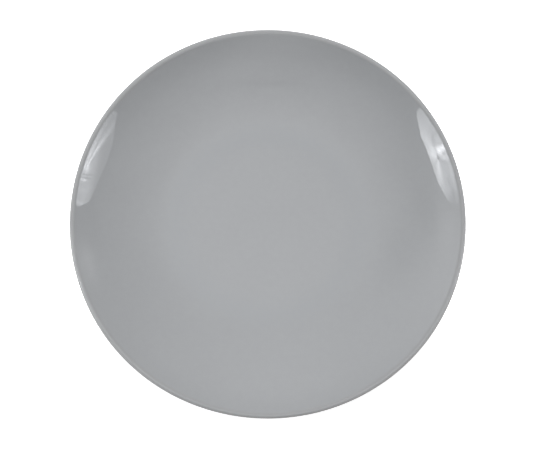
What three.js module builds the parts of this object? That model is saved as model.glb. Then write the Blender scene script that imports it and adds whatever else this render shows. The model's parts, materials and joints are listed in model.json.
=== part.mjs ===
// Round coupe serving platter in glazed stoneware. A flat well curves up through a soft verge
// into a long shallow wall, whose edge turns up and rolls over softly into a plain rounded lip.
// There is no separate rim, and the platter stands on a trimmed foot ring.
// It is one pressed clay body under two coats of grey glaze: one runs from the well over the lip
// and down the back to the foot ring, the other covers the recess inside the ring. The tread of
// the ring, and a narrow band up both of its sides, is wiped bare before firing.
// Millimetres, +Z up. The origin is the centre of the foot ring, on the surface it stands on.
import * as THREE from "three";

const { degToRad } = THREE.MathUtils;
const rightAngle = Math.PI / 2;

// Outline of the finished platter
const platterDiameter = 330; // over the glaze, at the widest part of the lip
const wellDiameter = 148; // flat floor, out to where the face starts to rise
const vergeDiameter = 195; // where the verge round the floor runs into the wall
const vergeSlope = degToRad(12);
const wallDiameter = 277; // where the edge of the wall starts to turn up
const wallSlope = degToRad(22);
const lipSlope = degToRad(32); // where the upturned edge starts to roll over

// Thickness of the clay
const baseThickness = 5.8; // under the well, inside the foot ring
const wallThickness = 4.8; // of the wall, out to where its edge turns up
const rollRadius = 5; // of the roll from the face over to the top of the lip
const lipRadius = 1.9; // from the top of the lip round to its back

// Foot ring
const footHeight = 4.2; // from the surface it stands on up to the recessed base
const treadWidth = 3; // flat part that touches the table
const treadRound = 0.9; // rounding of the tread's two corners
const footDraft = degToRad(10); // lean of both sides of the ring
const footFillet = 2.2; // where the ring's sides run into the underside
const shoulderLedge = 6; // straight stretch of the back between the ring's fillet and the wall

// Glaze
const glazeThickness = 0.4;
const bareBand = 1.6; // height of bare clay on the foot ring's sides, above the tread
const bondGap = 0.02; // between the clay and the glaze fired onto it

// Facets
const turnSegments = 72;
const vergeSteps = 2;
const wallSteps = 3;
const edgeSteps = 3;
const rollSteps = 2;
const lipSteps = 5;
const backEdgeSteps = 2;
const filletSteps = 3;
const treadSteps = 2;

// Level of the clay in the well, above the table
const wellLevel = footHeight + baseThickness;

// A point of the meridian: r out from the axis, z up.
const at = (r, z) => new THREE.Vector2(r, z);

// The point at a distance from a centre, in a direction counted up from level and outward.
function polar(centre, distance, direction) {
  return at(
    centre.x + distance * Math.cos(direction),
    centre.y + distance * Math.sin(direction),
  );
}

// The meridian of the clay is drawn from arcs that run into one another without a corner.
// Each arc bulges out of the clay or is hollowed into it, so a skin of some thickness laid on
// the clay has the same centres, with larger radii on the bulges and smaller ones in the hollows.
function arc({ centre, radius, hollow }, from, to, steps, lift) {
  const reach = hollow ? radius - lift : radius + lift;
  return Array.from({ length: steps + 1 }, (_, i) =>
    polar(centre, reach, from + ((to - from) * i) / steps),
  );
}

// An arc of the face, which starts at a point and slope and reaches a radius and slope.
function rising(start, startSlope, endRadius, endSlope) {
  const radius = (endRadius - start.x) / (Math.sin(endSlope) - Math.sin(startSlope));
  const centre = polar(start, radius, startSlope + rightAngle);
  return { centre, radius, hollow: true, end: polar(centre, radius, endSlope - rightAngle) };
}

// The face, from the floor of the well over the roll to the lip.
const wellEdge = at(wellDiameter / 2, wellLevel);
const verge = rising(wellEdge, 0, vergeDiameter / 2, vergeSlope);
const wall = rising(verge.end, vergeSlope, wallDiameter / 2, wallSlope);
const lipCentreRadius = platterDiameter / 2 - glazeThickness - bondGap - lipRadius;
const edgeEndRadius = lipCentreRadius - rollRadius * Math.sin(lipSlope);
const edge = rising(wall.end, wallSlope, edgeEndRadius, lipSlope);
const roll = {
  centre: polar(edge.centre, edge.radius + rollRadius, lipSlope - rightAngle),
  radius: rollRadius,
  hollow: false,
};
const lip = {
  centre: polar(roll.centre, rollRadius - lipRadius, rightAngle),
  radius: lipRadius,
  hollow: false,
};

// The back of the upturned edge runs straight from the lip, then turns on a tighter arc than
// the face does. Between them the clay grows from its thickness at the lip to that of the wall.
const lipThickness = rollRadius + lipRadius - (rollRadius - lipRadius) * Math.cos(lipSlope);
const tightening = (wallThickness - lipThickness) / (1 - Math.cos(lipSlope - wallSlope));
const backEdge = {
  centre: polar(edge.centre, tightening, wallSlope - rightAngle),
  radius: edge.radius + wallThickness - tightening,
  hollow: false,
};

// The back of the wall keeps one thickness down to the shoulder, which runs in to the foot ring.
const backWall = { centre: wall.centre, radius: wall.radius + wallThickness, hollow: false };
const wallFoot = polar(backWall.centre, backWall.radius, vergeSlope - rightAngle);
const shoulder = polar(wallFoot, -shoulderLedge, vergeSlope);

// How far the centre of a fillet at some height stands off the centre of the tread's rounded
// corner, where one side of the foot ring leans between the two.
function sideReach(filletHeight) {
  const rounds = treadRound + footFillet;
  const rise = filletHeight - treadRound + rounds * Math.sin(footDraft);
  return rounds * Math.cos(footDraft) + rise * Math.tan(footDraft);
}

const outerFillet = {
  centre: polar(shoulder, footFillet, vergeSlope - rightAngle),
  radius: footFillet,
  hollow: true,
};
const outerCorner = {
  centre: at(outerFillet.centre.x - sideReach(outerFillet.centre.y), treadRound),
  radius: treadRound,
  hollow: false,
};
const innerCorner = {
  centre: at(outerCorner.centre.x - treadWidth, treadRound),
  radius: treadRound,
  hollow: false,
};
const innerFilletHeight = footHeight - footFillet;
const innerFillet = {
  centre: at(innerCorner.centre.x - sideReach(innerFilletHeight), innerFilletHeight),
  radius: footFillet,
  hollow: true,
};

// Where the glaze stops on a side of the ring that faces the given way, level with the top of
// the bare band.
function glazeLine(corner, facing, upward, lift) {
  const start = polar(corner.centre, treadRound, facing);
  const climb = (bareBand - start.y) / Math.sin(upward);
  return polar(polar(corner.centre, treadRound + lift, facing), climb, upward);
}

// From the middle of the well, up the face, over the lip and down the back to the glaze line.
function upperSurface(lift) {
  return [
    at(0, wellLevel + lift),
    ...arc(verge, -rightAngle, vergeSlope - rightAngle, vergeSteps, lift),
    ...arc(wall, vergeSlope - rightAngle, wallSlope - rightAngle, wallSteps, lift).slice(1),
    ...arc(edge, wallSlope - rightAngle, lipSlope - rightAngle, edgeSteps, lift).slice(1),
    ...arc(roll, lipSlope + rightAngle, rightAngle, rollSteps, lift).slice(1),
    ...arc(lip, rightAngle, lipSlope - rightAngle, lipSteps, lift).slice(1),
    ...arc(backEdge, lipSlope - rightAngle, wallSlope - rightAngle, backEdgeSteps, lift),
    ...arc(backWall, wallSlope - rightAngle, vergeSlope - rightAngle, wallSteps, lift).slice(1),
    ...arc(outerFillet, vergeSlope + rightAngle, Math.PI - footDraft, filletSteps, lift),
    glazeLine(outerCorner, -footDraft, rightAngle - footDraft, lift),
  ];
}

// The bare tread, from the ring's outer side to its inner side.
function tread() {
  return [
    ...arc(outerCorner, -footDraft, -rightAngle, treadSteps, 0),
    ...arc(innerCorner, -rightAngle, footDraft - Math.PI, treadSteps, 0),
  ];
}

// From the glaze line inside the ring, up to the recessed base and in to its middle.
function recessSurface(lift) {
  return [
    glazeLine(innerCorner, footDraft - Math.PI, rightAngle + footDraft, lift),
    ...arc(innerFillet, footDraft, rightAngle, filletSteps, lift),
    at(0, footHeight - lift),
  ];
}

// A solid of revolution from a meridian that starts and ends on the axis, or closes on itself.
// The meridians run face first, and a lathe's faces point outwards on one that runs foot first.
function turned(name, meridian, material) {
  const footFirst = [...meridian].reverse();
  const mesh = new THREE.Mesh(new THREE.LatheGeometry(footFirst, turnSegments), material);
  mesh.name = name;
  return mesh;
}

// A coat of glaze over one stretch of the clay: its outside, then back along its inside.
function coat(name, surface, material) {
  const inside = surface(bondGap);
  const outside = surface(bondGap + glazeThickness);
  return turned(name, [...outside, ...inside.reverse(), outside[0]], material);
}

const clay = new THREE.MeshStandardMaterial({
  name: "bare_stoneware",
  color: 0xcdc3b4,
  roughness: 0.85,
  metalness: 0,
});
const glaze = new THREE.MeshStandardMaterial({
  name: "grey_glaze",
  color: 0xa9abad,
  roughness: 0.1,
  metalness: 0,
});

const stonewareBody = turned(
  "stoneware_body",
  [...upperSurface(0), ...tread(), ...recessSurface(0)],
  clay,
);
const glazeCoat = coat("glaze_coat", upperSurface, glaze);
const baseGlaze = coat("base_glaze", recessSurface, glaze.clone());

// The pieces are turned about +Y, and the platter stands with that axis upright.
const platter = new THREE.Group();
platter.name = "serving_platter";
platter.add(stonewareBody, glazeCoat, baseGlaze);
platter.rotation.x = rightAngle;

export default platter;
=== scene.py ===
# Round coupe serving platter: one pressed stoneware body under a coat of grey gloss glaze on the
# face and back, and another inside the bare foot ring.
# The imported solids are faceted, so a finely turned mesh on the same meridian replaces each one.
# Metres, +Z up, with the origin at the centre of the foot ring, on the table.
import json
import math

import bmesh
import bpy
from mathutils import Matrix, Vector, noise


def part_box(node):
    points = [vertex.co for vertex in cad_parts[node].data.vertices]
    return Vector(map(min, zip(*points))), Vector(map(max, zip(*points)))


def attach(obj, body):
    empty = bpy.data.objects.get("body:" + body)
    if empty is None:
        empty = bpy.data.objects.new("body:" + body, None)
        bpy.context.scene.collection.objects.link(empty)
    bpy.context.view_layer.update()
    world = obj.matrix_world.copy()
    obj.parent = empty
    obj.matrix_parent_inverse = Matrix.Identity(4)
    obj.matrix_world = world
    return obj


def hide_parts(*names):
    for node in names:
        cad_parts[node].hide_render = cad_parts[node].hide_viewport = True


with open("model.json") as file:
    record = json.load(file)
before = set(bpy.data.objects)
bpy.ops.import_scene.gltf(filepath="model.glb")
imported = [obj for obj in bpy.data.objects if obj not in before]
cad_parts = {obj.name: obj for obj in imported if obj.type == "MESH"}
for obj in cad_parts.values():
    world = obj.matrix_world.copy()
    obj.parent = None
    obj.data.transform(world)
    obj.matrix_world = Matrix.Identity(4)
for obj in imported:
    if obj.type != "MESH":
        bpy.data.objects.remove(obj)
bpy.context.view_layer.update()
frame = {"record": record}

MM = 0.001
RIGHT_ANGLE = math.pi / 2
VERTICAL = Vector((0, 0, 1))
AXIS_POINT = Vector((0, 0, 0))
mounts = {mount["name"]: mount for mount in frame["record"]["mounts"]}

# Sizes of the body and its glaze. Those that the frame holds are read from it, and the others
# repeat the driving sizes of the solids.
PLATTER_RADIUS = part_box("glaze_coat")[1].x
SKIN = PLATTER_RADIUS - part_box("stoneware_body")[1].x
BOND_GAP = 0.02 * MM
WELL_LEVEL = mounts["well_floor"]["pos_m"][2] - SKIN
WELL_RADIUS = 74 * MM
VERGE_RADIUS = 97.5 * MM
WALL_RADIUS = 138.5 * MM
VERGE_SLOPE = math.radians(12)
WALL_SLOPE = math.radians(22)
LIP_SLOPE = math.radians(32)
WALL_THICKNESS = 4.8 * MM
ROLL_RADIUS = 5 * MM
LIP_RADIUS = 1.9 * MM
FOOT_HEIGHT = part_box("base_glaze")[1].z + BOND_GAP
TREAD_WIDTH = 3 * MM
TREAD_ROUND = 0.9 * MM
FOOT_DRAFT = math.radians(10)
FOOT_FILLET = 2.2 * MM
SHOULDER_LEDGE = 6 * MM
BARE_BAND = 1.6 * MM

# Fineness of the turned meshes
TURN_STEPS = 288
WELL_STEPS = 28
VERGE_STEPS = 14
WALL_STEPS = 16
EDGE_STEPS = 14
ROLL_STEPS = 10
LIP_STEPS = 14
LEDGE_STEPS = 3
FILLET_STEPS = 8
TREAD_STEPS = 6
FLAT_STEPS = 2
BEAD_STEPS = 6
WELD = 0.001 * MM

# What the kiln did to the true round: wider at four places, and sagged most at two, which the
# turn sets as twice their angle
OUT_OF_ROUND = 0.5 * MM
LIP_SAG = 0.25 * MM
SAG_TURN = 0.7
WAVE_HEIGHT = 0.05 * MM
WAVE_LENGTH = 70 * MM
LEAST_WAVE = 0.3


def at(radius, height):
    """A point of the meridian: out from the axis, and up from the table."""
    return Vector((radius, 0, height))


def polar(centre, distance, direction):
    """The point at a distance from a centre, in a direction counted up from level and outward."""
    return centre + distance * at(math.cos(direction), math.sin(direction))


def rising(start, start_slope, end_radius, end_slope):
    """Centre, radius and end of an arc of the face between two slopes."""
    radius = (end_radius - start.x) / (math.sin(end_slope) - math.sin(start_slope))
    centre = polar(start, radius, start_slope + RIGHT_ANGLE)
    return centre, radius, polar(centre, radius, end_slope - RIGHT_ANGLE)


# Centres of the arcs that the meridian of the clay is drawn from. A skin on the clay has the
# same centres.
lip_reach = PLATTER_RADIUS - SKIN - LIP_RADIUS
edge_end = lip_reach - ROLL_RADIUS * math.sin(LIP_SLOPE)
well_edge = at(WELL_RADIUS, WELL_LEVEL)
verge_centre, _, verge_end = rising(well_edge, 0, VERGE_RADIUS, VERGE_SLOPE)
wall_centre, wall_radius, wall_end = rising(verge_end, VERGE_SLOPE, WALL_RADIUS, WALL_SLOPE)
edge_centre, edge_radius, _ = rising(wall_end, WALL_SLOPE, edge_end, LIP_SLOPE)
roll_centre = polar(edge_centre, edge_radius + ROLL_RADIUS, LIP_SLOPE - RIGHT_ANGLE)
lip_centre = polar(roll_centre, ROLL_RADIUS - LIP_RADIUS, RIGHT_ANGLE)
lip_thickness = ROLL_RADIUS + LIP_RADIUS - (ROLL_RADIUS - LIP_RADIUS) * math.cos(LIP_SLOPE)
tightening = (WALL_THICKNESS - lip_thickness) / (1 - math.cos(LIP_SLOPE - WALL_SLOPE))
back_edge_centre = polar(edge_centre, tightening, WALL_SLOPE - RIGHT_ANGLE)
back_edge_radius = edge_radius + WALL_THICKNESS - tightening
wall_foot = polar(wall_centre, wall_radius + WALL_THICKNESS, VERGE_SLOPE - RIGHT_ANGLE)
shoulder = polar(wall_foot, -SHOULDER_LEDGE, VERGE_SLOPE)


def side_reach(fillet_height):
    """How far the fillet's centre stands off the tread corner's centre on one side of the foot."""
    rounds = TREAD_ROUND + FOOT_FILLET
    rise = fillet_height - TREAD_ROUND + rounds * math.sin(FOOT_DRAFT)
    return rounds * math.cos(FOOT_DRAFT) + rise * math.tan(FOOT_DRAFT)


inner_height = FOOT_HEIGHT - FOOT_FILLET
outer_fillet = polar(shoulder, FOOT_FILLET, VERGE_SLOPE - RIGHT_ANGLE)
outer_corner = at(outer_fillet.x - side_reach(outer_fillet.z), TREAD_ROUND)
inner_corner = at(outer_corner.x - TREAD_WIDTH, TREAD_ROUND)
inner_fillet = at(inner_corner.x - side_reach(inner_height), inner_height)


def glaze_line(corner, facing, upward, lift):
    """Where the glaze stops on a side of the foot, level with the top of the bare band."""
    start = polar(corner, TREAD_ROUND, facing)
    climb = (BARE_BAND - start.z) / math.sin(upward)
    return polar(polar(corner, TREAD_ROUND + lift, facing), climb, upward)


class Meridian:
    """A lathe profile drawn with one pen, then turned about the platter's axis."""

    def __init__(self):
        self.mesh = bmesh.new()
        self.tip = None

    def start(self, place):
        self.tip = self.mesh.verts.new(place)

    def line(self, place, steps=1):
        begin = self.tip.co.copy()
        for step in range(steps):
            made = bmesh.ops.extrude_vert_indiv(self.mesh, verts=[self.tip])
            self.tip = made["verts"][0]
            self.tip.co = begin.lerp(place, (step + 1) / steps)

    def swing(self, centre, angle, steps):
        """Carries the tip round a centre, up and outward for a positive angle."""
        made = bmesh.ops.spin(
            self.mesh, geom=[self.tip], cent=centre, axis=(0, -1, 0), angle=angle, steps=steps
        )
        self.tip = next(e for e in made["geom_last"] if isinstance(e, bmesh.types.BMVert))

    def turn(self):
        profile = self.mesh.verts[:] + self.mesh.edges[:]
        bmesh.ops.spin(
            self.mesh,
            geom=profile,
            cent=AXIS_POINT,
            axis=VERTICAL,
            angle=math.tau,
            steps=TURN_STEPS,
            use_merge=True,
        )
        bmesh.ops.remove_doubles(self.mesh, verts=self.mesh.verts[:], dist=WELD)
        bmesh.ops.recalc_face_normals(self.mesh, faces=self.mesh.faces[:])


def draw_upper(pen, lift):
    """From the middle of the well, over the lip and down the back to the glaze line."""
    pen.start(at(0, WELL_LEVEL + lift))
    pen.line(at(WELL_RADIUS, WELL_LEVEL + lift), WELL_STEPS)
    pen.swing(verge_centre, VERGE_SLOPE, VERGE_STEPS)
    pen.swing(wall_centre, WALL_SLOPE - VERGE_SLOPE, WALL_STEPS)
    pen.swing(edge_centre, LIP_SLOPE - WALL_SLOPE, EDGE_STEPS)
    pen.swing(roll_centre, -LIP_SLOPE, ROLL_STEPS)
    pen.swing(lip_centre, LIP_SLOPE - math.pi, LIP_STEPS)
    pen.line(polar(back_edge_centre, back_edge_radius + lift, LIP_SLOPE - RIGHT_ANGLE))
    pen.swing(back_edge_centre, WALL_SLOPE - LIP_SLOPE, EDGE_STEPS)
    pen.swing(wall_centre, VERGE_SLOPE - WALL_SLOPE, WALL_STEPS)
    pen.line(polar(outer_fillet, FOOT_FILLET - lift, VERGE_SLOPE + RIGHT_ANGLE), LEDGE_STEPS)
    pen.swing(outer_fillet, RIGHT_ANGLE - FOOT_DRAFT - VERGE_SLOPE, FILLET_STEPS)
    pen.line(glaze_line(outer_corner, -FOOT_DRAFT, RIGHT_ANGLE - FOOT_DRAFT, lift))


def draw_recess(pen, lift):
    """From the middle of the recess, out to the foot ring and down to the glaze line inside it."""
    pen.start(at(0, FOOT_HEIGHT - lift))
    pen.line(at(inner_fillet.x, FOOT_HEIGHT - lift), WELL_STEPS)
    pen.swing(inner_fillet, FOOT_DRAFT - RIGHT_ANGLE, FILLET_STEPS)
    pen.line(glaze_line(inner_corner, FOOT_DRAFT - math.pi, RIGHT_ANGLE + FOOT_DRAFT, lift))


def draw_tread(pen):
    """From the glaze line outside the foot ring, across the tread, to the glaze line inside it."""
    pen.line(polar(outer_corner, TREAD_ROUND, -FOOT_DRAFT))
    pen.swing(outer_corner, FOOT_DRAFT - RIGHT_ANGLE, TREAD_STEPS)
    pen.line(at(inner_corner.x, 0), FLAT_STEPS)
    pen.swing(inner_corner, FOOT_DRAFT - RIGHT_ANGLE, TREAD_STEPS)


def fired(place):
    """Where a point of the true round ends up after the kiln, within the box of the solids."""
    radius = math.hypot(place.x, place.y)
    turn = math.atan2(place.y, place.x)
    out = min(max((radius - WELL_RADIUS) / (PLATTER_RADIUS - WELL_RADIUS), 0), 1)
    up = min(place.z / WELL_LEVEL, 1)
    grown = 1 + OUT_OF_ROUND / PLATTER_RADIUS * out * (1 - math.cos(4 * turn)) / 2
    sag = LIP_SAG * out**2 * (1 + math.cos(2 * turn - SAG_TURN)) / 2
    wave = WAVE_HEIGHT * up * (noise.noise(Vector((place.x, place.y, 0)) / WAVE_LENGTH) - 1)
    return Vector((place.x * grown, place.y * grown, place.z - sag + wave * max(out, LEAST_WAVE)))


def finish_piece(name, mesh, material, node):
    """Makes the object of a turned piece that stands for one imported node."""
    for vert in mesh.verts:
        vert.co = fired(vert.co)
    data = bpy.data.meshes.new(name)
    mesh.to_mesh(data)
    mesh.free()
    data.shade_smooth()
    data.materials.append(material)
    piece = bpy.data.objects.new(name, data)
    bpy.context.scene.collection.objects.link(piece)
    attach(piece, "root")
    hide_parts(node)


def make_clay_body(material):
    pen = Meridian()
    draw_upper(pen, 0)
    draw_tread(pen)
    pen.line(glaze_line(inner_corner, FOOT_DRAFT - math.pi, RIGHT_ANGLE + FOOT_DRAFT, 0))
    pen.line(polar(inner_fillet, FOOT_FILLET, FOOT_DRAFT))
    pen.swing(inner_fillet, RIGHT_ANGLE - FOOT_DRAFT, FILLET_STEPS)
    pen.line(at(0, FOOT_HEIGHT), WELL_STEPS)
    pen.turn()
    finish_piece("clay_body", pen.mesh, material, "stoneware_body")


def make_glaze(name, draw, material, node):
    """A skin of glaze: its outside and its inside, joined by a rounded edge at the glaze line."""
    pen = Meridian()
    draw(pen, BOND_GAP)
    inside = pen.tip.co.copy()
    draw(pen, SKIN)
    edge = (inside + pen.tip.co) / 2
    pen.swing(edge, -math.pi if inside.x < edge.x else math.pi, BEAD_STEPS)
    pen.turn()
    finish_piece(name, pen.mesh, material, node)


# Shader groups


def new_tree(name):
    material = bpy.data.materials.new(name)
    material.use_nodes = True
    tree = material.node_tree
    return material, tree, tree.nodes["Principled BSDF"]


def new_group(name, numbers=(), vectors=(), result="NodeSocketFloat"):
    """A shader group that turns its inputs into one total."""
    group = bpy.data.node_groups.new(name, "ShaderNodeTree")
    for socket in vectors:
        group.interface.new_socket(socket, in_out="INPUT", socket_type="NodeSocketVector")
    for socket in numbers:
        group.interface.new_socket(socket, in_out="INPUT", socket_type="NodeSocketFloat")
    group.interface.new_socket("Total", in_out="OUTPUT", socket_type=result)
    return group, group.nodes.new("NodeGroupInput"), group.nodes.new("NodeGroupOutput")


def feed(tree, socket, value):
    """Links a socket to another, or sets it to a value."""
    if isinstance(value, bpy.types.NodeSocket):
        tree.links.new(value, socket)
    elif value is not None:
        socket.default_value = value


def number(tree, operation, *values, clamp=False):
    node = tree.nodes.new("ShaderNodeMath")
    node.operation = operation
    node.use_clamp = clamp
    for socket, value in zip(node.inputs, values):
        feed(tree, socket, value)
    return node.outputs[0]


def vector(tree, operation, *values):
    node = tree.nodes.new("ShaderNodeVectorMath")
    node.operation = operation
    for socket, value in zip(node.inputs, values):
        feed(tree, socket, value)
    scalar = operation in ("DOT_PRODUCT", "LENGTH")
    return node.outputs["Value" if scalar else "Vector"]


def fading(tree, value):
    """1 where a value is 0, and less and less above it."""
    return number(tree, "EXPONENT", number(tree, "MULTIPLY", value, -1))


def use_group(tree, group, **values):
    """Adds a group node, and gives its sockets, named with spaces for underscores, their values."""
    node = tree.nodes.new("ShaderNodeGroup")
    node.node_tree = group
    for name, value in values.items():
        feed(tree, node.inputs[name.replace("_", " ")], value)
    return node.outputs[0]


def noise_at(tree, place, size, detail=2.0):
    """Smooth noise from 0 to 1, with features of about the given size in metres."""
    node = tree.nodes.new("ShaderNodeTexNoise")
    feed(tree, node.inputs["Vector"], place)
    feed(tree, node.inputs["Scale"], number(tree, "DIVIDE", 1, size))
    node.inputs["Detail"].default_value = detail
    return node.outputs["Fac"]


def blend_colour(tree, share, first, second):
    """The first colour where the share is 0, and the second where it is 1."""
    node = tree.nodes.new("ShaderNodeMix")
    node.data_type = "RGBA"
    feed(tree, node.inputs["Factor"], share)
    feed(tree, node.inputs[6], first)
    feed(tree, node.inputs[7], second)
    return node.outputs[2]


def paint(tree, colour, mask, over, strength):
    """Lays a colour over another where the mask says so, up to some strength."""
    return blend_colour(tree, number(tree, "MULTIPLY", mask, strength), colour, over)


def raised(tree, value, mask, by):
    """A value with an amount added where the mask says so."""
    return number(tree, "MULTIPLY_ADD", mask, by, value)


def uneven_group():
    """A value that drifts above and below its middle, with patches of one size."""
    group, entry, leave = new_group("uneven_value", ("Size", "Middle", "Depth"), ("Place",))
    cloudy = noise_at(group, entry.outputs["Place"], entry.outputs["Size"])
    drift = number(group, "MULTIPLY_ADD", cloudy, 2, -1)
    total = number(
        group, "MULTIPLY_ADD", drift, entry.outputs["Depth"], entry.outputs["Middle"]
    )
    group.links.new(total, leave.inputs["Total"])
    return group


SPECK_CRISPNESS = 3


def speck_group():
    """A mask of round specks: one in some of the cells, each up to the given radius."""
    group, entry, leave = new_group("specks", ("Spacing", "Radius", "Share"), ("Place",))
    cells = group.nodes.new("ShaderNodeTexVoronoi")
    group.links.new(entry.outputs["Place"], cells.inputs["Vector"])
    feed(group, cells.inputs["Scale"], number(group, "DIVIDE", 1, entry.outputs["Spacing"]))
    lot = group.nodes.new("ShaderNodeSeparateColor")
    group.links.new(cells.outputs["Color"], lot.inputs["Color"])
    reach = number(group, "MULTIPLY", cells.outputs["Distance"], entry.outputs["Spacing"])
    size = number(group, "MULTIPLY", lot.outputs["Green"], entry.outputs["Radius"])
    depth = number(group, "SUBTRACT", 1, number(group, "DIVIDE", reach, size), clamp=True)
    edge = number(group, "MULTIPLY", depth, SPECK_CRISPNESS, clamp=True)
    drawn = number(group, "LESS_THAN", lot.outputs["Red"], entry.outputs["Share"])
    group.links.new(number(group, "MULTIPLY", edge, drawn), leave.inputs["Total"])
    return group


RING_WANDER_SIZE = 9 * MM
RING_PATCH_SIZE = 14 * MM


def ring_group():
    """Height of the fine spiral that a tool leaves in turned clay, with a little wander."""
    group, entry, leave = new_group("turned_rings", ("Pitch", "Depth", "Wander"), ("Place",))
    place = entry.outputs["Place"]
    radius = vector(group, "LENGTH", vector(group, "MULTIPLY", place, (1, 1, 0)))
    apart = group.nodes.new("ShaderNodeSeparateXYZ")
    group.links.new(place, apart.inputs["Vector"])
    turn = number(group, "ARCTAN2", apart.outputs["Y"], apart.outputs["X"])
    wander = noise_at(group, place, RING_WANDER_SIZE)
    drift = number(group, "MULTIPLY", wander, entry.outputs["Wander"])
    count = number(group, "DIVIDE", radius, entry.outputs["Pitch"])
    phase = number(group, "MULTIPLY_ADD", number(group, "ADD", count, drift), math.tau, turn)
    wave = number(group, "SINE", phase)
    wave = number(group, "MULTIPLY", wave, noise_at(group, place, RING_PATCH_SIZE))
    height = number(group, "MULTIPLY", wave, entry.outputs["Depth"])
    group.links.new(height, leave.inputs["Total"])
    return group


def swell_group():
    """Height of a glassy surface that settled in the kiln: a long swell and a fine ripple."""
    group, entry, leave = new_group(
        "settled_glaze", ("Swell size", "Swell height", "Ripple size", "Ripple height"), ("Place",)
    )
    place = entry.outputs["Place"]
    swell = noise_at(group, place, entry.outputs["Swell size"], detail=0.0)
    ripple = noise_at(group, place, entry.outputs["Ripple size"], detail=1.0)
    total = number(group, "MULTIPLY", swell, entry.outputs["Swell height"])
    total = number(group, "MULTIPLY_ADD", ripple, entry.outputs["Ripple height"], total)
    group.links.new(total, leave.inputs["Total"])
    return group


def band_group():
    """A mask that is 1 in the middle of a band of some value, and fades to both sides."""
    group, entry, leave = new_group("soft_band", ("Value", "Middle", "Half width"))
    off = number(group, "SUBTRACT", entry.outputs["Value"], entry.outputs["Middle"])
    share = number(group, "DIVIDE", off, entry.outputs["Half width"])
    square = number(group, "MULTIPLY", share, share)
    group.links.new(fading(group, square), leave.inputs["Total"])
    return group


uneven_value = uneven_group()
specks = speck_group()
turned_rings = ring_group()
settled_glaze = swell_group()
soft_band = band_group()


def surface_place(tree):
    """Object coordinates, with the distance from the axis and the height above the table."""
    place = tree.nodes.new("ShaderNodeTexCoord").outputs["Object"]
    apart = tree.nodes.new("ShaderNodeSeparateXYZ")
    tree.links.new(place, apart.inputs["Vector"])
    radius = vector(tree, "LENGTH", vector(tree, "MULTIPLY", place, (1, 1, 0)))
    return place, radius, apart.outputs["Z"]


UNDER_CRISPNESS = 3


def under_side(tree):
    """1 where the surface looks down, 0 where it looks up."""
    normal = tree.nodes.new("ShaderNodeTexCoord").outputs["Normal"]
    down = vector(tree, "DOT_PRODUCT", normal, (0, 0, -1))
    return number(tree, "MULTIPLY", down, UNDER_CRISPNESS, clamp=True)


def scaled_colour(tree, colour, *shades):
    """A colour made lighter or darker by every shade in turn."""
    for shade in shades:
        node = tree.nodes.new("ShaderNodeVectorMath")
        node.operation = "SCALE"
        feed(tree, node.inputs[0], colour)
        tree.links.new(shade, node.inputs["Scale"])
        colour = node.outputs["Vector"]
    return colour


def raise_surface(tree, shader, *heights):
    """Adds heights in metres, and bends the shader's normal to them."""
    total = heights[0]
    for height in heights[1:]:
        total = number(tree, "ADD", total, height)
    bump = tree.nodes.new("ShaderNodeBump")
    bump.inputs["Distance"].default_value = 1
    tree.links.new(total, bump.inputs["Height"])
    tree.links.new(bump.outputs["Normal"], shader.inputs["Normal"])


# Materials

GLAZE_GREY = (0.37, 0.38, 0.385)
GLAZE_THIN = (0.30, 0.285, 0.27, 1)
# Paler over the lip: partly thinner glaze, partly painted light
GLAZE_CREST_PAINTED_LIGHT = (0.47, 0.468, 0.455, 1)
# Darker round the well's edge: partly pooled glaze, partly painted shade
GLAZE_POOLED_AND_SHADED = (0.345, 0.362, 0.372, 1)
# Painted shade: a dark line just inside the lip
GLAZE_PAINTED_SHADE_LINE = (0.29, 0.29, 0.285, 1)
GLAZE_SPECK = (0.19, 0.17, 0.15, 1)
GLAZE_IOR = 1.5
POOL_AND_SHADE_RADIUS = WELL_RADIUS + 4 * MM
SHADE_LINE_RADIUS = PLATTER_RADIUS - 3.3 * MM
SHADE_LINE_STRENGTH = 0.5
CLAY_BUFF = (0.61, 0.53, 0.43)
CLAY_ROUGHNESS = 0.86
CLAY_TOASTED = (0.47, 0.31, 0.19, 1)
CLAY_IRON = (0.16, 0.11, 0.08, 1)
CLAY_GROG = (0.74, 0.68, 0.59, 1)
CLAY_SCUFFED = (0.50, 0.47, 0.43, 1)


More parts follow.
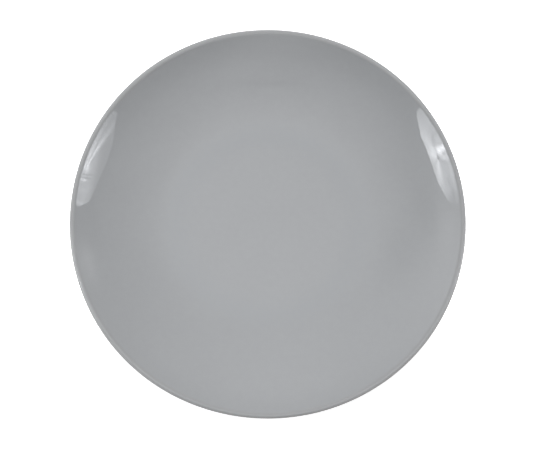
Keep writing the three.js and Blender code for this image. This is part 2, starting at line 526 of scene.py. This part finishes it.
def glaze_material(name, ring_depth, ring_pitch, gloss):
    """Grey gloss glaze, with pooling and painted shade round the well, thinner glaze and painted
    light over the lip, a painted shade line inside it, and thin at its hem.
    """
    material, tree, shader = new_tree(name)
    place, radius, height = surface_place(tree)
    cloud = use_group(tree, uneven_value, Place=place, Size=38 * MM, Middle=1, Depth=0.02)
    mottle = use_group(tree, uneven_value, Place=place, Size=5 * MM, Middle=1, Depth=0.022)
    fleck = use_group(tree, uneven_value, Place=place, Size=0.7 * MM, Middle=1, Depth=0.03)
    colour = scaled_colour(tree, GLAZE_GREY, cloud, mottle, fleck)
    # A darker, bluer ring just outside the well's edge: thicker glaze pooled there, and painted
    # shade where the floor turns into the wall
    pool_and_shade = use_group(tree, soft_band, Value=radius, Middle=POOL_AND_SHADE_RADIUS, Half_width=11 * MM)
    colour = paint(tree, colour, pool_and_shade, GLAZE_POOLED_AND_SHADED, strength=0.35)
    # Painted light: the lip's crest is paler, partly from thinner glaze and partly as painted light
    # where the lip catches the light
    crest_painted_light = use_group(tree, soft_band, Value=radius, Middle=PLATTER_RADIUS, Half_width=1.3 * MM)
    patchy = use_group(tree, uneven_value, Place=place, Size=6 * MM, Middle=0.6, Depth=0.25)
    colour = paint(tree, colour, crest_painted_light, GLAZE_CREST_PAINTED_LIGHT, strength=patchy)
    # Painted shade: a dark line just inside the lip, laid on upward-facing glaze only
    shade_line = use_group(tree, soft_band, Value=radius, Middle=SHADE_LINE_RADIUS, Half_width=1.2 * MM)
    under = under_side(tree)
    shade_line_on_top = number(tree, "SUBTRACT", SHADE_LINE_STRENGTH, under, clamp=True)
    colour = paint(tree, colour, shade_line, GLAZE_PAINTED_SHADE_LINE, strength=shade_line_on_top)
    hem = use_group(tree, soft_band, Value=height, Middle=BARE_BAND, Half_width=0.45 * MM)
    colour = paint(tree, colour, hem, GLAZE_THIN, strength=0.8)
    iron = use_group(tree, specks, Place=place, Spacing=7 * MM, Radius=0.22 * MM, Share=0.3)
    colour = paint(tree, colour, iron, GLAZE_SPECK, strength=0.6)
    tree.links.new(colour, shader.inputs["Base Color"])

    sheen = use_group(tree, uneven_value, Place=place, Size=24 * MM, Middle=gloss, Depth=0.005)
    dull = raised(tree, raised(tree, sheen, iron, by=0.15), hem, by=0.12)
    tree.links.new(dull, shader.inputs["Roughness"])
    shader.inputs["IOR"].default_value = GLAZE_IOR

    settled = use_group(
        tree,
        settled_glaze,
        Place=place,
        Swell_size=26 * MM,
        Swell_height=0.014 * MM,
        Ripple_size=2.6 * MM,
        Ripple_height=0.0011 * MM,
    )
    rings = use_group(
        tree, turned_rings, Place=place, Pitch=ring_pitch, Depth=ring_depth, Wander=0.5
    )
    pin = use_group(tree, specks, Place=place, Spacing=16 * MM, Radius=0.3 * MM, Share=0.22)
    pit = number(tree, "MULTIPLY", pin, -0.03 * MM)
    raise_surface(tree, shader, settled, number(tree, "MULTIPLY", rings, under), pit)
    return material


def clay_material(name):
    """Bare buff stoneware, toasted next to the glaze and scuffed where it stands."""
    material, tree, shader = new_tree(name)
    place, _, height = surface_place(tree)
    cloud = use_group(tree, uneven_value, Place=place, Size=11 * MM, Middle=1, Depth=0.09)
    grain = use_group(tree, uneven_value, Place=place, Size=0.5 * MM, Middle=1, Depth=0.17)
    colour = scaled_colour(tree, CLAY_BUFF, cloud, grain)
    toast = use_group(tree, soft_band, Value=height, Middle=BARE_BAND, Half_width=0.8 * MM)
    colour = paint(tree, colour, toast, CLAY_TOASTED, strength=0.75)
    grog = use_group(tree, specks, Place=place, Spacing=1.3 * MM, Radius=0.3 * MM, Share=0.4)
    colour = paint(tree, colour, grog, CLAY_GROG, strength=0.7)
    iron = use_group(tree, specks, Place=place, Spacing=2.1 * MM, Radius=0.36 * MM, Share=0.4)
    colour = paint(tree, colour, iron, CLAY_IRON, strength=0.85)
    tread = use_group(tree, soft_band, Value=height, Middle=0, Half_width=0.12 * MM)
    worn = use_group(tree, uneven_value, Place=place, Size=7 * MM, Middle=0.5, Depth=0.4)
    scuff = number(tree, "MULTIPLY", tread, worn)
    colour = blend_colour(tree, scuff, colour, CLAY_SCUFFED)
    tree.links.new(colour, shader.inputs["Base Color"])
    dull = raised(tree, CLAY_ROUGHNESS, scuff, by=-0.25)
    tree.links.new(dull, shader.inputs["Roughness"])
    rough = use_group(tree, uneven_value, Place=place, Size=0.35 * MM, Middle=0, Depth=0.02 * MM)
    rings = use_group(
        tree, turned_rings, Place=place, Pitch=0.55 * MM, Depth=0.025 * MM, Wander=0.8
    )
    grit = number(tree, "MULTIPLY", grog, 0.02 * MM)
    raise_surface(tree, shader, rough, rings, grit)
    return material


make_clay_body(clay_material("bare_stoneware_clay"))
face_finish = glaze_material(
    "grey_glaze_face", ring_depth=0.004 * MM, ring_pitch=2.6 * MM, gloss=0.016
)
make_glaze("face_glaze", draw_upper, face_finish, "glaze_coat")
recess_finish = glaze_material(
    "grey_glaze_recess", ring_depth=0.012 * MM, ring_pitch=3.4 * MM, gloss=0.06
)
make_glaze("recess_glaze", draw_recess, recess_finish, "base_glaze")


# Studio

CAMERA_ELEVATION = math.radians(78.2)
CAMERA_DISTANCE = 900 * MM
PHOTO_WIDTH = 544
PHOTO_HEIGHT = 459
PLATTER_HALF_WIDTH_PX = 198.25
LIP_CENTRE_PX = (267.77, 217.02)
SENSOR = 36.0


def place_camera():
    """Looks at the middle of the lip's plane, with the platter as wide in the frame as pictured."""
    data = bpy.data.cameras.new("camera")
    camera = bpy.data.objects.new("camera", data)
    bpy.context.scene.collection.objects.link(camera)
    bpy.context.scene.camera = camera
    aim = at(0, lip_centre.z)
    back = Vector((0, -math.cos(CAMERA_ELEVATION), math.sin(CAMERA_ELEVATION)))
    camera.location = aim + back * CAMERA_DISTANCE
    camera.rotation_euler = (-back).to_track_quat("-Z", "Y").to_euler()
    data.sensor_width = SENSOR
    focal_px = PLATTER_HALF_WIDTH_PX * CAMERA_DISTANCE / PLATTER_RADIUS
    data.lens = SENSOR * focal_px / PHOTO_WIDTH
    data.shift_x = (PHOTO_WIDTH / 2 - LIP_CENTRE_PX[0]) / PHOTO_WIDTH
    data.shift_y = (LIP_CENTRE_PX[1] - PHOTO_HEIGHT / 2) / PHOTO_WIDTH


def sky_direction(azimuth, elevation):
    """Azimuth in degrees from +X towards +Y, elevation in degrees above level."""
    a, e = math.radians(azimuth), math.radians(elevation)
    return Vector((math.cos(a) * math.cos(e), math.sin(a) * math.cos(e), math.sin(e)))


# Soft light of the room: azimuth, elevation and spread in degrees, and brightness
ROOM_GLOWS = (
    (0, 90, 25, 1.9),
    (90, 50, 25, 0.65),
    (90, 35, 25, 0.6),
    (150, 32, 25, 1.5),
    (30, 10, 25, 1),
    (0, 13, 12, 4),
    (180, 11, 12, 1.5),
    (266, 47, 13, 0.85),
    (270, 20, 12, 0.5),
    (28, 39, 5, 1),
    (160, 43, 6, 0.5),
    (-78, 65, 7, 0.3),
)
ROOM_TINT = Vector((1, 0.995, 1.01))

# Dark things in the room: azimuth and elevation in degrees, half size along x, y and z as a
# share of the distance, and how much of the light they take away
ROOM_SHADES = (
    (215, 48, (0.15, 0.15, 0.15), 0.75),
    (235, 52, (0.16, 0.16, 0.16), 0.35),
    (322, 50, (0.13, 0.13, 0.13), 0.35),
    (197, 56, (0.1, 0.12, 0.1), 0.4),
    (174, 60, (0.1, 0.12, 0.1), 0.45),
    (162, 56, (0.09, 0.09, 0.09), 0.55),
    (144, 60, (0.1, 0.1, 0.1), 0.5),
    (16, 48, (0.09, 0.09, 0.09), 0.55),
    (24, 46, (0.2, 0.03, 0.2), 0.3),
    (-91, 73, (0.16, 0.016, 0.5), 0.4),
)
LEAST_LIGHT = 0.1
WHITE = (1, 1, 1, 1)


def glow_group():
    """A round soft glow on the sky around one direction, added to the glows before it."""
    group, entry, leave = new_group(
        "room_glow", ("Sharpness",), ("Direction", "Radiance", "So far"), "NodeSocketVector"
    )
    where = group.nodes.new("ShaderNodeTexCoord").outputs["Generated"]
    facing = vector(group, "DOT_PRODUCT", where, entry.outputs["Direction"])
    off = number(group, "SUBTRACT", facing, 1)
    fall = number(group, "EXPONENT", number(group, "MULTIPLY", off, entry.outputs["Sharpness"]))
    glow = scaled_colour(group, entry.outputs["Radiance"], fall)
    total = vector(group, "ADD", glow, entry.outputs["So far"])
    group.links.new(total, leave.inputs["Total"])
    return group


def light_room():
    """A sky of glows with dark places in it, which the camera itself sees as plain white."""
    world = bpy.data.worlds.new("studio")
    bpy.context.scene.world = world
    world.use_nodes = True
    tree = world.node_tree
    background = tree.nodes["Background"]
    group = glow_group()
    total = (0, 0, 0)
    for azimuth, elevation, spread, brightness in ROOM_GLOWS:
        total = use_group(
            tree,
            group,
            Direction=sky_direction(azimuth, elevation),
            Sharpness=1 / (1 - math.cos(math.radians(spread))),
            Radiance=ROOM_TINT * brightness,
            So_far=total,
        )
    where = tree.nodes.new("ShaderNodeTexCoord").outputs["Generated"]
    left_over = 1.0
    for azimuth, elevation, half_size, taken in ROOM_SHADES:
        left_over = use_group(
            tree,
            soft_patch,
            Place=where,
            Middle=sky_direction(azimuth, elevation),
            Inverse_size=Vector([1 / half for half in half_size]),
            Strength=-taken,
            So_far=left_over,
        )
    total = scaled_colour(tree, total, number(tree, "MAXIMUM", left_over, LEAST_LIGHT))
    seen = tree.nodes.new("ShaderNodeLightPath").outputs["Is Camera Ray"]
    colour = blend_colour(tree, seen, total, WHITE)
    tree.links.new(colour, background.inputs["Color"])


LAMP_DISTANCE = 1500 * MM
LAMP_RADIANCE = 12
LAMP_TINT = (0.985, 1.0, 1.035)
FOLD_STRETCH = (1, 0.22, 1)
BLACK = (0, 0, 0, 1)


def patch_offset(group, entry):
    """How far a place is from the middle of a patch, as a share of its half size."""
    offset = vector(group, "SUBTRACT", entry.outputs["Place"], entry.outputs["Middle"])
    return vector(group, "MULTIPLY", offset, entry.outputs["Inverse size"])


def add_light(group, entry, leave, fall):
    """Adds the group's strength, as much as the fall says, to the light so far."""
    total = number(
        group, "MULTIPLY_ADD", fall, entry.outputs["Strength"], entry.outputs["So far"]
    )
    group.links.new(total, leave.inputs["Total"])


def patch_group():
    """A soft oval patch on a lamp's cloth or on the sky."""
    group, entry, leave = new_group(
        "soft_patch", ("Strength", "So far"), ("Place", "Middle", "Inverse size")
    )
    offset = patch_offset(group, entry)
    fall = fading(group, vector(group, "DOT_PRODUCT", offset, offset))
    add_light(group, entry, leave, fall)
    return group


def loop_group():
    """A thin oval line on a lamp's cloth."""
    group, entry, leave = new_group(
        "cloth_loop", ("Fineness", "Strength", "So far"), ("Place", "Middle", "Inverse size")
    )
    length = vector(group, "LENGTH", patch_offset(group, entry))
    off = number(group, "SUBTRACT", length, 1)
    off = number(group, "MULTIPLY", off, entry.outputs["Fineness"])
    add_light(group, entry, leave, fading(group, number(group, "ABSOLUTE", off)))
    return group


def streak_group():
    """A streak on a lamp's cloth that runs out from its hub and widens."""
    group, entry, leave = new_group(
        "cloth_streak",
        ("Narrowness", "Reach", "Strength", "So far"),
        ("Place", "Hub", "Direction"),
    )
    offset = vector(group, "SUBTRACT", entry.outputs["Place"], entry.outputs["Hub"])
    length = vector(group, "LENGTH", offset)
    facing = vector(
        group, "DOT_PRODUCT", vector(group, "NORMALIZE", offset), entry.outputs["Direction"]
    )
    off = number(group, "SUBTRACT", facing, 1)
    side = number(group, "MULTIPLY", off, entry.outputs["Narrowness"])
    share = number(group, "DIVIDE", length, entry.outputs["Reach"])
    out = number(group, "MULTIPLY", share, share)
    fall = number(group, "EXPONENT", number(group, "SUBTRACT", side, out))
    add_light(group, entry, leave, fall)
    return group


soft_patch = patch_group()
cloth_loop = loop_group()
cloth_streak = streak_group()


def on_cloth(across, up):
    """A place on a lamp, given in mm across and up from its middle."""
    return Vector((across, up, 0)) * MM


def inverse_size(half_width, half_height):
    return Vector((1 / half_width, 1 / half_height, 0)) / MM


def heading(angle):
    """A direction on a lamp's cloth, in degrees round from across towards up."""
    return Vector((math.cos(math.radians(angle)), math.sin(math.radians(angle)), 0))


def cloth_material(name, even, hub, streaks, patches, loops=()):
    """Lit cloth of a lamp, with an even light under all that is on it.

    A streak has an angle, a narrowness, a reach and a strength. A patch has a middle, a half
    size and a strength, and a loop has a fineness before its strength. Lengths are in mm.
    """
    material, tree, shader = new_tree(name)
    place = tree.nodes.new("ShaderNodeTexCoord").outputs["Object"]
    total = even
    for angle, narrowness, reach, strength in streaks:
        total = use_group(
            tree,
            cloth_streak,
            Place=place,
            Hub=on_cloth(*hub),
            Direction=heading(angle),
            Narrowness=narrowness,
            Reach=reach * MM,
            Strength=strength,
            So_far=total,
        )
    for across, up, half_width, half_height, strength in patches:
        total = use_group(
            tree,
            soft_patch,
            Place=place,
            Middle=on_cloth(across, up),
            Inverse_size=inverse_size(half_width, half_height),
            Strength=strength,
            So_far=total,
        )
    for across, up, half_width, half_height, fineness, strength in loops:
        total = use_group(
            tree,
            cloth_loop,
            Place=place,
            Middle=on_cloth(across, up),
            Inverse_size=inverse_size(half_width, half_height),
            Fineness=fineness,
            Strength=strength,
            So_far=total,
        )
    drawn_out = vector(tree, "MULTIPLY", place, FOLD_STRETCH)
    folds = use_group(tree, uneven_value, Place=drawn_out, Size=13 * MM, Middle=1, Depth=0.3)
    total = number(tree, "MULTIPLY", number(tree, "MAXIMUM", total, 0), folds)
    tint = tree.nodes.new("ShaderNodeCombineColor")
    for socket, share in zip(tint.inputs, LAMP_TINT):
        tree.links.new(number(tree, "MULTIPLY", total, share), socket)
    tree.links.new(tint.outputs["Color"], shader.inputs["Emission Color"])
    shader.inputs["Emission Strength"].default_value = LAMP_RADIANCE
    shader.inputs["Base Color"].default_value = BLACK
    shader.inputs["Specular IOR Level"].default_value = 0
    return material


def place_lamp(name, azimuth, elevation, corners, material):
    """A flat cloth lamp that faces the platter, with its corners in mm across and up."""
    mesh = bmesh.new()
    verts = [mesh.verts.new(on_cloth(across, up)) for across, up in corners]
    bmesh.ops.contextual_create(mesh, geom=verts)
    data = bpy.data.meshes.new(name)
    mesh.to_mesh(data)
    mesh.free()
    data.materials.append(material)
    lamp = bpy.data.objects.new(name, data)
    bpy.context.scene.collection.objects.link(lamp)
    towards = sky_direction(azimuth, elevation)
    lamp.location = towards * LAMP_DISTANCE
    lamp.rotation_euler = towards.to_track_quat("Z", "Y").to_euler()
    lamp.visible_camera = False


TABLE_RADIUS = 3
TABLE_DROP = 0.2 * MM
TABLE_GREY = (0.7, 0.7, 0.7, 1)
TABLE_ROUGHNESS = 0.9
TABLE_LIFT = 0.75
TABLE_SHINE = 2.0
SHINE_BEYOND = 0.5
SHINE_FLOOR = 0.35


def lay_table():
    """A white table that runs well past the frame. It shines at both sides and a little beyond."""
    mesh = bmesh.new()
    bmesh.ops.create_circle(mesh, cap_ends=True, segments=64, radius=TABLE_RADIUS)
    data = bpy.data.meshes.new("table")
    mesh.to_mesh(data)
    mesh.free()
    table = bpy.data.objects.new("table", data)
    table.location = (0, 0, -TABLE_DROP)
    bpy.context.scene.collection.objects.link(table)
    material, tree, shader = new_tree("white_table")
    shader.inputs["Base Color"].default_value = TABLE_GREY
    shader.inputs["Roughness"].default_value = TABLE_ROUGHNESS
    place, radius, _ = surface_place(tree)
    across = number(tree, "DIVIDE", vector(tree, "DOT_PRODUCT", place, (1, 0, 0)), radius)
    beyond = number(tree, "DIVIDE", vector(tree, "DOT_PRODUCT", place, (0, 1, 0)), radius)
    beyond = number(tree, "MULTIPLY", beyond, SHINE_BEYOND)
    side = number(tree, "MULTIPLY_ADD", across, across, beyond)
    side = number(tree, "SUBTRACT", side, SHINE_FLOOR, clamp=True)
    seen = tree.nodes.new("ShaderNodeLightPath").outputs["Is Camera Ray"]
    lift = number(tree, "MULTIPLY", seen, TABLE_LIFT)
    lift = number(tree, "MULTIPLY_ADD", side, TABLE_SHINE, lift)
    tree.links.new(lift, shader.inputs["Emission Strength"])
    shader.inputs["Emission Color"].default_value = WHITE
    data.materials.append(material)


bpy.context.scene.view_settings.view_transform = "Standard"
place_camera()
light_room()
left_cloth = cloth_material(
    "left_lamp_cloth",
    even=0.33,
    hub=(-48, 26),
    streaks=((84, 8, 150, 0.3), (45, 9, 190, 0.26), (157, 12, 160, 0.38)),
    patches=(
        (60, -20, 250, 190, 0.09),
        (60, 90, 80, 70, 0.11),
        (-120, 60, 70, 50, 0.12),
        (-34, 100, 24, 56, 0.2),
        (2, 44, 24, 40, 0.2),
        (-3, -30, 25, 44, 0.95),
        (17, -112, 20, 62, 1.0),
        (-45, -100, 17, 60, 0.42),
        (-48, 26, 10, 11, -0.75),
        (76, -10, 26, 7, -0.14),
        (70, -50, 28, 30, 0.1),
        (-262, -118, 52, 42, -0.13),
        (-186, -68, 22, 22, -0.1),
        (-70, -165, 120, 40, 0.2),
        (-330, -60, 60, 150, -0.2),
        (290, 10, 60, 90, -0.08),
    ),
    loops=((20, -56, 90, 82, 22, -0.24),),
)
place_lamp(
    "left_lamp",
    184,
    50,
    (
        (70, 172),
        (105, 158),
        (220, 100),
        (268, 60),
        (312, -20),
        (345, -120),
        (330, -360),
        (60, -470),
        (-230, -420),
        (-340, -200),
        (-300, -10),
        (-230, 80),
        (-190, 118),
        (-130, 145),
        (-60, 158),
    ),
    left_cloth,
)
right_cloth = cloth_material(
    "right_lamp_cloth",
    even=0.11,
    hub=(106, -66),
    streaks=((144, 95, 255, 0.66), (171, 70, 300, 0.4)),
    patches=(
        (-60, -20, 210, 90, 0.1),
        (30, -80, 190, 42, 0.24),
        (108, -48, 30, 38, 0.5),
        (110, 30, 140, 80, 0.2),
        (262, -55, 80, 120, 0.17),
        (178, -64, 9, 48, 0.42),
        (234, -62, 7, 60, 0.09),
        (318, -80, 14, 70, 0.24),
        (146, -12, 3, 110, -0.26),
        (155, -20, 4, 110, 0.12),
        (166, -22, 3, 100, -0.26),
    ),
)
place_lamp(
    "right_lamp",
    -4,
    48,
    (
        (40, 245),
        (100, 235),
        (150, 200),
        (200, 165),
        (262, 120),
        (300, 60),
        (325, -40),
        (353, -160),
        (353, -280),
        (87, -253),
        (-113, -187),
        (-233, -153),
        (-309, -67),
        (-275, 60),
        (-255, 105),
        (-200, 130),
        (-150, 160),
        (-90, 205),
        (-30, 235),
    ),
    right_cloth,
)
lay_table()
